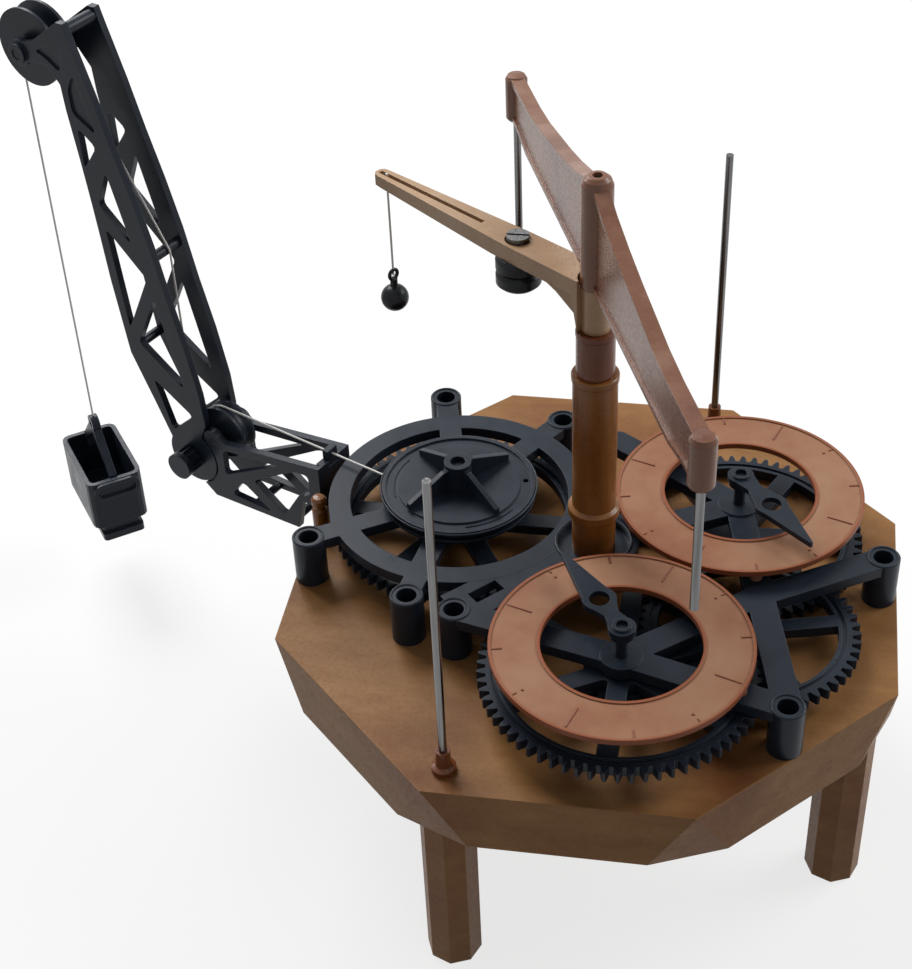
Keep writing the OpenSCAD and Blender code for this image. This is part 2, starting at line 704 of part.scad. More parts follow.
// Hand with a round hub, a narrow arm, a wide eye and a pointed blade
module hand(p, a, reach, eye, hole) {
    color("slategray") place() at(p, hand_z - 1.5) rotate([0, 0, a]) difference() {
        union() {
            cylinder(r = 3.4, h = 1.5);
            translate([eye, 0, 0]) cylinder(r = 4.2, h = 1.5);
            linear_extrude(1.5) polygon([[0, -3.2], [eye * 0.45, -1.9], [eye, -4.2], [eye + 3, -3.4],
                [reach, -0.35], [reach, 0.35], [eye + 3, 3.4], [eye, 4.2], [eye * 0.45, 1.9], [0, 3.2]]);
            translate([0, 0, -1.5]) cylinder(r = 3, h = 2);
            translate([0, 0, 1]) cylinder(r = 2.4, h = 1.1);
        }
        translate([0, 0, -3]) cylinder(r = hole, h = 8);
        translate([eye, 0, -1]) cylinder(r = 2.6, h = 5);
    }
}

module minute_hand() { hand(minute_p, minute_dir, 30, 11, arbor_r + 0.03); }
module hour_hand() { hand(hour_p, hour_dir, 31, 13.7, arbor_r + 0.03); }

module intermediate_wheel() {
    color("slategray") place()
        wheel(mid_p, mid_n, mesh(0, dir(minute_p, mid_p), minute_pin_n, mid_n), level_2, 1.6 + fit, 6, 5, 4);
}

module intermediate_pinion() {
    color("slategray") place() at(mid_p, level_1) difference() {
        union() {
            teeth(mid_pin_n, 0, gear_t);
            translate([0, 0, gear_t]) cylinder(r = 4, h = level_2 - level_1 - gear_t);
        }
        translate([0, 0, -1]) cylinder(r = 1.6 + fit, h = 6);
    }
}

module hour_arbor() {
    color("silver") place() at(hour_p, -3.5) cylinder(r = arbor_r, h = hand_z - 0.4 + 3.5);
}

module hour_wheel() {
    color("slategray") place()
        wheel(hour_p, hour_n, mesh(0, dir(mid_p, hour_p), mid_pin_n, hour_n), level_1, arbor_r, 6, 6, 5);
}

module upper_side() {
    difference() {
        union() {
            polygon(upper_out);
            translate(elbow) circle(r = lug_r);
            translate(tip) circle(r = 3.6);
        }
        windows(upper_windows);
    }
}

// The upper boom keeps the outer half of each side plate at the elbow
module upper_boom_near() {
    span = near_y - far_y - side_t;
    color("slategray") place() crane() difference() {
        union() {
            slab(near_y, side_t) upper_side();
            across(tip, near_y - 1.2, 2, 2.6);
            across(tip, near_y + side_t - 0.5, 1.5, 2.7);
            across([149.4, 124.4], far_y + side_t, span, 1.7);
            across(bar, far_y + side_t, span, bar_r);
            across([143.6, 29], far_y + side_t, span, 1.4);
        }
        across(elbow, near_y - 4 + side_t / 2 + eps, 4, lug_r + 0.6);
        across(elbow, near_y - 1, 5, 1.5 + fit);
        across(tip, near_y - 2, 6, 1.5);
        slab(near_y + side_t - 0.6, 1) windows(upper_recesses);
    }
}

module upper_boom_far() {
    color("slategray") place() crane() difference() {
        union() {
            slab(far_y, side_t) upper_side();
            across(tip, far_y + 1.2, 2, 2.6);
        }
        across(elbow, far_y + side_t / 2 - eps, 4, lug_r + 0.6);
        across(elbow, far_y - 1, 5, 1.5 + fit);
        across(tip, far_y - 1, 6, 1.5);
    }
}

module tip_axle() {
    color("silver") place() crane() across(tip, far_y - 0.8, crane_w + 1.6, 1.5);
}

// Thread up the boom, over its bar and over the tip pulley, as far as where it hangs
module boom_thread() {
    low = elbow + pol(roller_lay, touch_2) + pol(0.1, touch_2 + 90);
    high = bar + pol(bar_lay, touch_2 + 180);
    far = bar + pol(bar_lay, touch_3);
    end = tip + pol(tip_lay, touch_3);
    color("gainsboro") place() crane()
        thread([for (p = concat([for (i = [0:7]) low + (high - low) * i / 8],
            arc(bar, bar_lay, touch_2 + 180, touch_3, 3), [for (i = [1:7]) far + (end - far) * i / 8],
            arc(tip, tip_lay, touch_3, 0, 15))) [p[0], mid_y, p[1]]], [0, 1, 0]);
}

// Pulley turned about the crane's cross direction, with a V groove
module pulley(c, r, deep, w, hole) {
    translate([c[0], mid_y, c[1]]) rotate([90, 0, 0]) rotate_extrude()
        polygon([[hole, -w / 2], [r, -w / 2], [r, -w / 2 + 0.9], [r - deep, -0.6], [r - deep, 0.6],
            [r, w / 2 - 0.9], [r, w / 2], [hole, w / 2]]);
}

module elbow_pulley() {
    color("slategray") place() crane() pulley(elbow_wheel, elbow_pulley_r, 1.05, 5.4, 1.2 + fit);
}

module elbow_roller() {
    color("slategray") place() crane() pulley(elbow, roller_r, 0.8, 5.4, 1.5 + fit);
}

module tip_pulley() {
    color("slategray") place() crane() pulley(tip, tip_pulley_r, 4, 6.4, 1.5 + fit);
}

// Ribbed knob on the near end of the elbow bolt
module elbow_knob() {
    color("slategray") place() crane() difference() {
        union() {
            across(elbow, crane_y + 0.3, 4.2, knob_r - 1);
            across(elbow, crane_y + 4.5, 2, knob_r);
            for (i = [0:11])
                translate([elbow[0], crane_y + 4.5, elbow[1]]) rotate([0, 30 * i, 0])
                    translate([knob_r - 1.1, -4, -0.3]) cube([0.9, 4.2, 0.6]);
        }
        across(elbow, crane_y - 1, 5.2, 1.5 + fit);
    }
}

module hanging_thread() {
    color("gainsboro") place() crane()
        thread([for (i = [0:24]) [thread_x, mid_y, tip[1] - 0.1 - (tip[1] - bail_z - 0.2) * i / 24]], [1, 0, 0]);
}

module at_bucket() {
    at(bucket_p, rim_z) rotate([0, 0, bucket_dir]) children();
}

// Box with its long way along x; the front end has a raised frame, and a weight hangs below
// Rectangle with rounded corners
function round_box(l, w, r) = [for (q = [[1, 1, 0], [-1, 1, 90], [-1, -1, 180], [1, -1, 270]]) for (i = [0:3])
    [q[0] * (l / 2 - r), q[1] * (w / 2 - r)] + pol(r, q[2] + 30 * i)];

module bucket() {
    l = bucket_l;
    w = bucket_w;
    color("slategray") place() at_bucket() difference() {
        union() {
            translate([0, 0, -bucket_h]) linear_extrude(bucket_h) polygon(round_box(l, w, 2.6));
            translate([1, 0, -bucket_h - 3]) linear_extrude(3) polygon(round_box(l - 4, w - 5, 1.5));
            translate([1.2, 0, -bucket_h - 5.4]) linear_extrude(2.4) polygon(round_box(l - 2.4, w - 4.2, 1.2));
            translate([l / 2 - 1, 0, -3.2]) rotate([90, 0, 90]) linear_extrude(2.1) polygon(round_box(w - 3, 6, 2.4));
        }
        translate([0, 0, -bucket_h + 1.6]) linear_extrude(bucket_h)
            polygon(round_box(l - 2 * wall_t, w - 2 * wall_t, 1.4));
        translate([l / 2 + 0.3, 0, -3.2]) rotate([90, 0, 90]) linear_extrude(3) polygon(round_box(w - 5.4, 3.8, 1.5));
    }
}

// Two sloping straps that meet in an eye above the middle of the bucket
module bucket_bail() {
    half = bucket_l / 2 - wall_t;
    high = bail_z - rim_z;
    color("slategray") place() at_bucket() difference() {
        union() {
            slab(-1.2, 2.4) polygon([[-half, -4], [-half, 0.6], [-2.2, high - 3.4], [2.2, high - 3.4],
                [half, 0.6], [half, -4], [half - 1.6, -4], [half - 1.6, -0.2], [0, high - 6.2],
                [1.6 - half, -0.2], [1.6 - half, -4]]);
            translate([0, 1.2, high - 2.8]) rotate([90, 0, 0]) cylinder(r = 2.8, h = 2.4);
        }
        translate([0, 3, high - 2.8]) rotate([90, 0, 0]) cylinder(r = 1.2, h = 6);
    }
}

deck();
leg_front();
leg_left();
leg_rear();
leg_right();
drum_plate();
main_plate();
plate_screws();
column_lower();
column_upper();
dial_minute();
dial_hour();
pole_front();
pole_rear();
ferrule_front();
ferrule_rear();
rim_peg();
lower_boom_near();
lower_boom_far();
thread_guide();
drum_thread();
elbow_axle();
elbow_bolt();
intermediate_pin();
spindle();
centre_pinion_low();
centre_pinion_high();
ball_arm();
weight_upper();
weight_lower();
weight_screw();
bridge();
rod_front();
rod_rear();
flying_ball();
ball_thread();
great_wheel();
winding_drum();
winder();
drum_arbor();
minute_arbor();
minute_wheel();
minute_pinion();
minute_hand();
intermediate_wheel();
intermediate_pinion();
hour_arbor();
hour_wheel();
hour_hand();
upper_boom_near();
upper_boom_far();
tip_axle();
boom_thread();
elbow_pulley();
elbow_roller();
elbow_knob();
tip_pulley();
hanging_thread();
bucket();
bucket_bail();
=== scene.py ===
from math import sin, cos, acos, radians, degrees, pi, atan2
import bpy
import bmesh
from mathutils import Vector, Matrix


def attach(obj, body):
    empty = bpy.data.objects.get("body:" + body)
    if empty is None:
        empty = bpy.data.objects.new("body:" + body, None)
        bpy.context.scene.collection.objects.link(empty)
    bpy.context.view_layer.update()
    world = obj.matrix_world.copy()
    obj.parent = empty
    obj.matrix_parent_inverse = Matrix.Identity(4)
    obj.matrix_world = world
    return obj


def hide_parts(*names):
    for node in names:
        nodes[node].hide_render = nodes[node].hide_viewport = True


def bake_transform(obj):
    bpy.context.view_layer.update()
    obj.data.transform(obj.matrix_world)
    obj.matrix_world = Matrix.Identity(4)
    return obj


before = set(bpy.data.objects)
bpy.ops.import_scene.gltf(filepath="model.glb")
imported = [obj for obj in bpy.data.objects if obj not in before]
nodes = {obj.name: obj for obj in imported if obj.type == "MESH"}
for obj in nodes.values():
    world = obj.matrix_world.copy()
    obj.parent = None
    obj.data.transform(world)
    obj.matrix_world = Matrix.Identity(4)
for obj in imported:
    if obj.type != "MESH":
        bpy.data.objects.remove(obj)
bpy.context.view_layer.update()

scene = bpy.context.scene
scene.view_settings.view_transform = "Standard"

mm = 0.001
columnFoot = Vector((0.048877, -0.003068, 0.069))   # the column's axis at the deck's top, in the frame
craneBearing = 154   # degrees
craneTurn = radians(craneBearing)
dialMiddle = {"minute": (11.14, -41.01), "hour": (36.1, 19.4)}


def onDeck(x, y, z=0.0):
    return Vector((x * mm, y * mm, z * mm)) + columnFoot


def polar(radius, angle):
    return Vector((radius * cos(radians(angle)), radius * sin(radians(angle))))


def onCrane(along, across, z):
    return onDeck(along * cos(craneTurn) - across * sin(craneTurn),
                  along * sin(craneTurn) + across * cos(craneTurn), z)


# The camera stands where the photograph was taken from
photoCamera = {"place": (37.541, -368.503, 335.160), "yaw": -0.195182, "pitch": 0.684130, "roll": -0.048027,
               "focal": 1900.84, "rows": 969, "sensor": 24, "nearest": 0.01, "farthest": 20}


def addCamera():
    s = photoCamera
    data = bpy.data.cameras.new("photoCamera")
    camera = bpy.data.objects.new("photoCamera", data)
    scene.collection.objects.link(camera)
    ahead = Vector((sin(s["yaw"]) * cos(s["pitch"]), cos(s["yaw"]) * cos(s["pitch"]), -sin(s["pitch"])))
    level = Vector((cos(s["yaw"]), -sin(s["yaw"]), 0))
    up = level.cross(ahead)
    right = level * cos(s["roll"]) + up * sin(s["roll"])
    top = up * cos(s["roll"]) - level * sin(s["roll"])
    turn = Matrix((right, top, -ahead)).transposed().to_4x4()
    camera.matrix_world = Matrix.Translation(onDeck(*s["place"])) @ turn
    data.sensor_fit = "VERTICAL"
    data.sensor_height = s["sensor"]
    data.lens = s["focal"] / s["rows"] * s["sensor"]
    data.clip_start = s["nearest"]
    data.clip_end = s["farthest"]
    scene.camera = camera


addCamera()
print("camera ready")


# Small helpers for materials
def newMaterial(name):
    mat = bpy.data.materials.new(name)
    mat.use_nodes = True
    tree = mat.node_tree
    where = tree.nodes.new("ShaderNodeTexCoord").outputs["Object"]
    return mat, tree, tree.nodes["Principled BSDF"], where


def noise(tree, where, scale, detail=4.0, rough=0.5, stretch=None):
    if stretch:
        mapping = tree.nodes.new("ShaderNodeMapping")
        mapping.inputs["Scale"].default_value = stretch
        tree.links.new(where, mapping.inputs["Vector"])
        where = mapping.outputs["Vector"]
    node = tree.nodes.new("ShaderNodeTexNoise")
    node.inputs["Scale"].default_value = scale
    node.inputs["Detail"].default_value = detail
    node.inputs["Roughness"].default_value = rough
    tree.links.new(where, node.inputs["Vector"])
    return node.outputs["Fac"]


def ramp(tree, value, stops):
    node = tree.nodes.new("ShaderNodeValToRGB")
    elements = node.color_ramp.elements
    while len(elements) < len(stops):
        elements.new(0.5)
    for element, (place, colour) in zip(elements, stops):
        element.position = place
        element.color = (*colour, 1)
    tree.links.new(value, node.inputs["Fac"])
    return node.outputs["Color"]


def mixed(tree, factor, first, second):
    node = tree.nodes.new("ShaderNodeMix")
    node.data_type = "RGBA"
    for value, socket in ((factor, node.inputs[0]), (first, node.inputs[6]), (second, node.inputs[7])):
        if isinstance(value, tuple):
            socket.default_value = (*value, 1)
        else:
            tree.links.new(value, socket)
    return node.outputs[2]


def spread(tree, value, low, high, fromLow=0.3, fromHigh=0.7):
    node = tree.nodes.new("ShaderNodeMapRange")
    node.inputs["From Min"].default_value = fromLow
    node.inputs["From Max"].default_value = fromHigh
    node.inputs["To Min"].default_value = low
    node.inputs["To Max"].default_value = high
    tree.links.new(value, node.inputs["Value"])
    return node.outputs["Result"]


def relief(tree, shader, height, strength, distance, edge=None):
    node = tree.nodes.new("ShaderNodeBump")
    node.inputs["Strength"].default_value = strength
    node.inputs["Distance"].default_value = distance
    tree.links.new(height, node.inputs["Height"])
    if edge:
        bevel = tree.nodes.new("ShaderNodeBevel")
        bevel.samples = 4
        bevel.inputs["Radius"].default_value = edge
        tree.links.new(bevel.outputs["Normal"], node.inputs["Normal"])
    tree.links.new(node.outputs["Normal"], shader.inputs["Normal"])


# Dark moulded plastic: nearly even, a little cloudy, with a fine grain and edges painted paler as a painted
# highlight
def mouldedPlastic(name, deep, pale, roughness, edge=0.0003):
    mat, tree, shader, where = newMaterial(name)
    shader.inputs["Specular IOR Level"].default_value = 0.18
    cloud = noise(tree, where, 45.0, 5.0, 0.6)
    grain = noise(tree, where, 1300.0, 3.0, 0.6)
    patchiness = noise(tree, where, 160.0, 4.0, 0.65)
    body = ramp(tree, cloud, [(0.3, deep), (0.72, pale)])
    # The edge colour is a painted highlight, three times the pale tone
    paintedEdgeHighlight = tuple(3.0 * c for c in pale)
    tree.links.new(mixed(tree, edgeHighlightMask(tree, patchiness, edge), body, paintedEdgeHighlight), shader.inputs["Base Color"])
    tree.links.new(spread(tree, patchiness, roughness - 0.06, roughness + 0.08), shader.inputs["Roughness"])
    relief(tree, shader, grain, 0.16, 0.00005, edge)
    return mat


# How far a rounded normal turns from the true one tells where an edge is, so edges can be painted paler as a
# painted highlight, patchy along their length
def edgeHighlightMask(tree, patchiness, edge):
    bevel = tree.nodes.new("ShaderNodeBevel")
    bevel.samples = 4
    bevel.inputs["Radius"].default_value = edge * 1.2
    true = tree.nodes.new("ShaderNodeNewGeometry")
    dot = tree.nodes.new("ShaderNodeVectorMath")
    dot.operation = "DOT_PRODUCT"
    tree.links.new(bevel.outputs["Normal"], dot.inputs[0])
    tree.links.new(true.outputs["Normal"], dot.inputs[1])
    turned = spread(tree, dot.outputs["Value"], 0.85, 0.0, 0.8, 0.99)
    times = tree.nodes.new("ShaderNodeMath")
    times.operation = "MULTIPLY"
    tree.links.new(turned, times.inputs[0])
    tree.links.new(spread(tree, patchiness, 0.35, 1.0, 0.35, 0.65), times.inputs[1])
    return times.outputs["Value"]


# The deck and legs are moulded with a mottled tan and rust look
def deckBoard():
    mat, tree, shader, where = newMaterial("deckBoard")
    shader.inputs["Specular IOR Level"].default_value = 0.16
    cloud = noise(tree, where, 20.0, 6.0, 0.62)
    streak = noise(tree, where, 55.0, 6.0, 0.6, (1.0, 3.0, 4.0))
    speck = noise(tree, where, 900.0, 3.0, 0.6)
    tan = ramp(tree, streak, [(0.25, (0.22, 0.10, 0.032)), (0.6, (0.285, 0.14, 0.051)),
                              (0.85, (0.34, 0.18, 0.072))])
    rust = mixed(tree, spread(tree, cloud, 0.0, 0.85, 0.47, 0.72), tan, (0.14, 0.04, 0.012))
    final = mixed(tree, spread(tree, speck, 0.0, 0.3, 0.5, 0.8), rust, (0.14, 0.055, 0.018))
    # Edges are painted a pale tan as a painted highlight
    paintedEdgeHighlight = mixed(tree, edgeHighlightMask(tree, cloud, 0.0005), final, (0.46, 0.26, 0.11))
    tree.links.new(paintedEdgeHighlight, shader.inputs["Base Color"])
    tree.links.new(spread(tree, speck, 0.36, 0.52), shader.inputs["Roughness"])
    relief(tree, shader, speck, 0.25, 0.00008, 0.0004)
    return mat


# Glossy brown plastic with slow swirls of a paler and a darker brown
def swirledPlastic(name, base, pale, dark, roughness=0.28, gloss=0.35, swirlScale=55.0):
    mat, tree, shader, where = newMaterial(name)
    shader.inputs["Specular IOR Level"].default_value = gloss
    colour = swirled(tree, where, base, pale, dark, swirlScale)
    finishSwirl(tree, shader, where, colour, roughness)
    return mat


def swirled(tree, where, base, pale, dark, swirlScale):
    swirl = noise(tree, where, swirlScale, 5.0, 0.6, (1.0, 1.0, 0.5))
    return ramp(tree, swirl, [(0.25, dark), (0.5, base), (0.78, pale)])


def finishSwirl(tree, shader, where, colour, roughness):
    speck = noise(tree, where, 1100.0, 2.0, 0.5)
    tree.links.new(colour, shader.inputs["Base Color"])
    tree.links.new(spread(tree, speck, roughness - 0.04, roughness + 0.08), shader.inputs["Roughness"])
    relief(tree, shader, speck, 0.12, 0.00004, 0.00025)


# A dial's raised rims are redder than its face
def dialCopper(name, middle):
    mat, tree, shader, where = newMaterial(name)
    shader.inputs["Specular IOR Level"].default_value = 0.16
    face = swirled(tree, where, (0.33, 0.165, 0.095), (0.40, 0.235, 0.15), (0.24, 0.088, 0.045), 34.0)
    flat = tree.nodes.new("ShaderNodeVectorMath")
    flat.operation = "MULTIPLY"
    flat.inputs[1].default_value = (1, 1, 0)
    tree.links.new(where, flat.inputs[0])
    reach = tree.nodes.new("ShaderNodeVectorMath")
    reach.operation = "DISTANCE"
    reach.inputs[1].default_value = onDeck(*middle)[:2] + (0,)
    tree.links.new(flat.outputs["Vector"], reach.inputs[0])
    place = spread(tree, reach.outputs["Value"], 0.0, 1.0, 0.018, 0.034)
    on, off = (1, 1, 1), (0, 0, 0)
    rims = ramp(tree, place, [(0.0, on), (0.115, on), (0.17, off), (0.80, off), (0.87, on)])
    colour = mixed(tree, rims, face, (0.27, 0.08, 0.035))
    finishSwirl(tree, shader, where, colour, 0.36)
    return mat


def drawnSteel(name, deep, pale, roughness, stretch=(1.0, 1.0, 0.03)):
    mat, tree, shader, where = newMaterial(name)
    line = noise(tree, where, 1600.0, 2.0, 0.5, stretch)
    shade = ramp(tree, line, [(0.3, (deep,) * 3), (0.7, (pale,) * 3)])
    tree.links.new(shade, shader.inputs["Base Color"])
    shader.inputs["Metallic"].default_value = 1.0
    tree.links.new(spread(tree, line, roughness - 0.05, roughness + 0.1), shader.inputs["Roughness"])
    relief(tree, shader, line, 0.15, 0.00003)
    return mat


def twistedThread():
    mat, tree, shader, where = newMaterial("twistedThread")
    wave = tree.nodes.new("ShaderNodeTexWave")
    wave.bands_direction = "DIAGONAL"
    wave.inputs["Scale"].default_value = 700.0
    wave.inputs["Distortion"].default_value = 1.5
    tree.links.new(where, wave.inputs["Vector"])
    strands = ramp(tree, wave.outputs["Fac"], [(0.0, (0.68, 0.67, 0.64)), (1.0, (0.88, 0.87, 0.84))])
    tree.links.new(strands, shader.inputs["Base Color"])
    shader.inputs["Roughness"].default_value = 0.85
    relief(tree, shader, wave.outputs["Fac"], 0.4, 0.00006)
    return mat


greyPlastic = mouldedPlastic("greyPlastic", (0.009, 0.0135, 0.022), (0.018, 0.025, 0.037), 0.33)
blackCast = mouldedPlastic("blackCast", (0.005, 0.006, 0.008), (0.010, 0.012, 0.015), 0.32)
boardPlastic = deckBoard()
columnBrown = swirledPlastic("columnBrown", (0.22, 0.078, 0.016), (0.31, 0.135, 0.035),
                             (0.13, 0.037, 0.008), 0.22, 0.27)
columnUmber = swirledPlastic("columnUmber", (0.16, 0.045, 0.015), (0.23, 0.085, 0.033),
                             (0.09, 0.022, 0.007), 0.24, 0.27)
armTan = swirledPlastic("armTan", (0.43, 0.27, 0.15), (0.52, 0.36, 0.23), (0.32, 0.17, 0.085))
bridgeBrown = swirledPlastic("bridgeBrown", (0.205, 0.083, 0.044), (0.30, 0.165, 0.105),
                             (0.115, 0.035, 0.016), 0.26, 0.36)
minuteCopper = dialCopper("minuteCopper", dialMiddle["minute"])
hourCopper = dialCopper("hourCopper", dialMiddle["hour"])
markRust = swirledPlastic("markRust", (0.22, 0.065, 0.03), (0.28, 0.09, 0.045), (0.16, 0.045, 0.02), 0.45)
steelWire = drawnSteel("steelWire", 0.12, 0.21, 0.18)
studSteel = drawnSteel("studSteel", 0.10, 0.17, 0.38, (1.0, 1.0, 1.0))
threadFibre = twistedThread()
print("finishes mixed")

# Threads, along the same route as their solids
threadSet = {"thick": 0.6, "across": 9.65, "level": 15.4, "wheel": (116.6, 8.0), "roller": (125.0, -1.0),
             "bar": (131.0, 62.6), "tip": (166.5, 114.4), "wheelLay": 7.4, "rollerLay": 3.8, "barLay": 1.95,
             "tipLay": 7.25, "drumReach": 40, "drumBearing": 159.2, "drumStep": 7.7, "clear": 0.1,
             "bucketEye": -10.9, "ballReach": 70.6, "ballBearing": 144.4, "ballEye": 64.1, "ballTop": 94.3}


def turn(start, end):
    d = Vector(end) - Vector(start)
    return degrees(atan2(d.y, d.x)), d.length


def arcPoints(middle, radius, first, last, steps):
    return [Vector(middle) + polar(radius, first + (last - first) * i / steps) for i in range(steps + 1)]


# A thread that shortens with a sliding body has to be a mesh
def asMesh(curveObject):
    bpy.context.view_layer.update()
    name = curveObject.name
    shown = curveObject.evaluated_get(bpy.context.evaluated_depsgraph_get())
    mesh = bpy.data.meshes.new_from_object(shown)
    bpy.data.objects.remove(curveObject)
    obj = bpy.data.objects.new(name, mesh)
    scene.collection.objects.link(obj)
    return obj


def addThread(name, body, node, points, endBody=None):
    curve = bpy.data.curves.new(name, "CURVE")
    curve.dimensions = "3D"
    curve.bevel_depth = threadSet["thick"] * mm / 2
    curve.bevel_resolution = 3
    curve.use_fill_caps = True
    spline = curve.splines.new("POLY")
    spline.points.add(len(points) - 1)
    for point, place in zip(spline.points, points):
        point.co = (*place, 1)
    obj = bpy.data.objects.new(name, curve)
    scene.collection.objects.link(obj)
    curve.materials.append(threadFibre)
    if endBody:
        obj = asMesh(obj)
        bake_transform(obj)
    else:
        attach(obj, body)
    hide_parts(node)


def addThreads():
    s = threadSet
    wheel, roller, bar, tip = (Vector(s[k]) for k in ("wheel", "roller", "bar", "tip"))
    a, d = turn(wheel, roller)
    touchOne = a + degrees(acos((s["wheelLay"] + s["rollerLay"]) / d))
    a, d = turn(roller, bar)
    touchTwo = a - degrees(acos((s["rollerLay"] + s["barLay"]) / d))
    a, d = turn(bar, tip)
    touchThree = a + degrees(acos((s["barLay"] - s["tipLay"]) / d))
    drumAlong = s["drumReach"] * cos(radians(s["drumBearing"] - craneBearing))
    route = [Vector((drumAlong + s["drumStep"] * i, s["level"])) for i in range(10)]
    route += arcPoints(wheel, s["wheelLay"], 90, touchOne, 9)
    route += arcPoints(roller, s["rollerLay"], touchOne + 180, touchTwo + 336, 9)
    addThread("drumThread", "base", "drum_thread", [onCrane(p.x, s["across"], p.y) for p in route])
    low = roller + polar(s["rollerLay"], touchTwo) + polar(s["clear"], touchTwo + 90)
    high = bar + polar(s["barLay"], touchTwo + 180)
    leave = bar + polar(s["barLay"], touchThree)
    meet = tip + polar(s["tipLay"], touchThree)
    route = [low.lerp(high, i / 8) for i in range(8)] + arcPoints(bar, s["barLay"], touchTwo + 180, touchThree, 3)
    route += [leave.lerp(meet, i / 8) for i in range(1, 8)] + arcPoints(tip, s["tipLay"], touchThree, 0, 15)
    addThread("boomThread", "upper_boom", "boom_thread", [onCrane(p.x, s["across"], p.y) for p in route])
    top, low = tip.y - s["clear"], s["bucketEye"]
    addThread("hangingThread", "line", "hanging_thread",
              [onCrane(tip.x + s["tipLay"], s["across"], top + (low - top) * i / 24) for i in range(25)],
              "load")
    foot, side = s["ballEye"], polar(s["ballReach"], s["ballBearing"])
    addThread("ballThread", "ball", "ball_thread",
              [onDeck(side.x, side.y, foot + (s["ballTop"] - foot) * i / 12) for i in range(13)])


addThreads()
print("threads hung")


# Every solid of the frame gets its finish
def finish(material, *names):
    for name in names:
        obj = nodes[name]
        if not obj.material_slots:
            obj.data.materials.append(material)
        for slot in obj.material_slots:
            slot.material = material


finish(boardPlastic, "deck", "leg_front", "leg_left", "leg_rear", "leg_right")
finish(columnBrown, "column_lower", "rim_peg")
finish(columnUmber, "column_upper", "ferrule_front", "ferrule_rear")
finish(armTan, "ball_arm")
finish(bridgeBrown, "bridge")
finish(minuteCopper, "dial_minute")
finish(hourCopper, "dial_hour")
finish(steelWire, "pole_front", "pole_rear", "rod_front", "rod_rear", "spindle", "intermediate_pin")
finish(studSteel, "weight_screw")
finish(blackCast, "weight_upper", "weight_lower", "flying_ball", "plate_screws", "elbow_axle", "elbow_bolt",
       "tip_axle")
finish(greyPlastic, "drum_plate", "main_plate", "lower_boom_near", "lower_boom_far", "centre_pinion_low",
       "centre_pinion_high", "great_wheel", "winding_drum", "winder", "drum_arbor", "minute_arbor",
       "minute_wheel", "minute_pinion", "minute_hand", "intermediate_wheel", "intermediate_pinion",
       "hour_arbor", "hour_wheel", "hour_hand", "upper_boom_near", "upper_boom_far", "elbow_pulley",
       "elbow_roller", "elbow_knob", "tip_pulley", "bucket", "bucket_bail", "thread_guide")
print("finishes laid on")


# Small parts are drawn in millimetres about the column, then moved and scaled once
def addPiece(name, bm, body, material):
    bmesh.ops.remove_doubles(bm, verts=bm.verts, dist=0.001)
    bmesh.ops.recalc_face_normals(bm, faces=bm.faces)
    bmesh.ops.scale(bm, verts=bm.verts, vec=(mm, mm, mm))
    bmesh.ops.translate(bm, verts=bm.verts, vec=columnFoot)
    mesh = bpy.data.meshes.new(name)
    bm.to_mesh(mesh)
    bm.free()
    obj = bpy.data.objects.new(name, mesh)
    scene.collection.objects.link(obj)
    mesh.materials.append(material)
    mesh.shade_smooth()
    split = obj.modifiers.new("hardEdges", "EDGE_SPLIT")
    split.split_angle = radians(40)
    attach(obj, body)
    return obj


def addBar(bm, size, place):
    made = bmesh.ops.create_cube(bm, size=1.0)["verts"]
    bmesh.ops.scale(bm, verts=made, vec=size)
    edges = [e for e in bm.edges if all(v in made for v in e.verts) and min(v.co.z for v in e.verts) > 0]
    softened = bmesh.ops.bevel(bm, geom=edges, offset=size[2] * 0.35, segments=2, affect="EDGES", profile=0.5,
                               material=-1)["faces"]
    made = list({v for f in softened for v in f.verts} | {v for v in made if v.is_valid})
    bmesh.ops.transform(bm, matrix=place, verts=made)


def addRing(bm, middle, radius, thick, level, steps=72):
    made = bmesh.ops.create_circle(bm, segments=10, radius=thick)["verts"]
    bmesh.ops.rotate(bm, verts=made, cent=(0, 0, 0), matrix=Matrix.Rotation(pi / 2, 3, "X"))
    bmesh.ops.translate(bm, verts=made, vec=(middle[0] + radius, middle[1], level))
    edges = [e for e in bm.edges if all(v in made for v in e.verts)]
    bmesh.ops.spin(bm, geom=made + edges, cent=(middle[0], middle[1], level), axis=(0, 0, 1), angle=2 * pi,
                   steps=steps, use_merge=True)


# Hour marks: a rim tick, a dot with a shorter tick, and a long line take turns round each dial
dialSet = {"level": 17.8, "turn": 11.0, "high": 0.22, "line": (24.0, 30.6, 0.42), "tick": (28.6, 31.4, 0.5),
           "dot": (28.2, 0.42), "dotTick": (29.9, 31.4, 0.36)}


def addDialMarks(which, body):
    s = dialSet
    bm = bmesh.new()
    for step in range(12):
        angle = radians(s["turn"] + 30 * step)
        home = Matrix.Translation((*dialMiddle[which], s["level"])) @ Matrix.Rotation(angle, 4, "Z")
        if step % 3 == 1:
            radius, size = s["dot"]
            made = bmesh.ops.create_cone(bm, segments=12, radius1=size, radius2=size * 0.7, depth=s["high"],
                                         cap_ends=True)["verts"]
            bmesh.ops.transform(bm, matrix=home @ Matrix.Translation((radius, 0, s["high"] / 2)), verts=made)
            inner, outer, wide = s["dotTick"]
        else:
            inner, outer, wide = s["tick"] if step % 3 == 0 else s["line"]
        addBar(bm, (outer - inner, wide, s["high"]),
               home @ Matrix.Translation(((inner + outer) / 2, 0, s["high"] / 2)))
    addPiece(which + "Marks", bm, body, markRust)


addDialMarks("minute", "base")
addDialMarks("hour", "base")
print("dials marked")

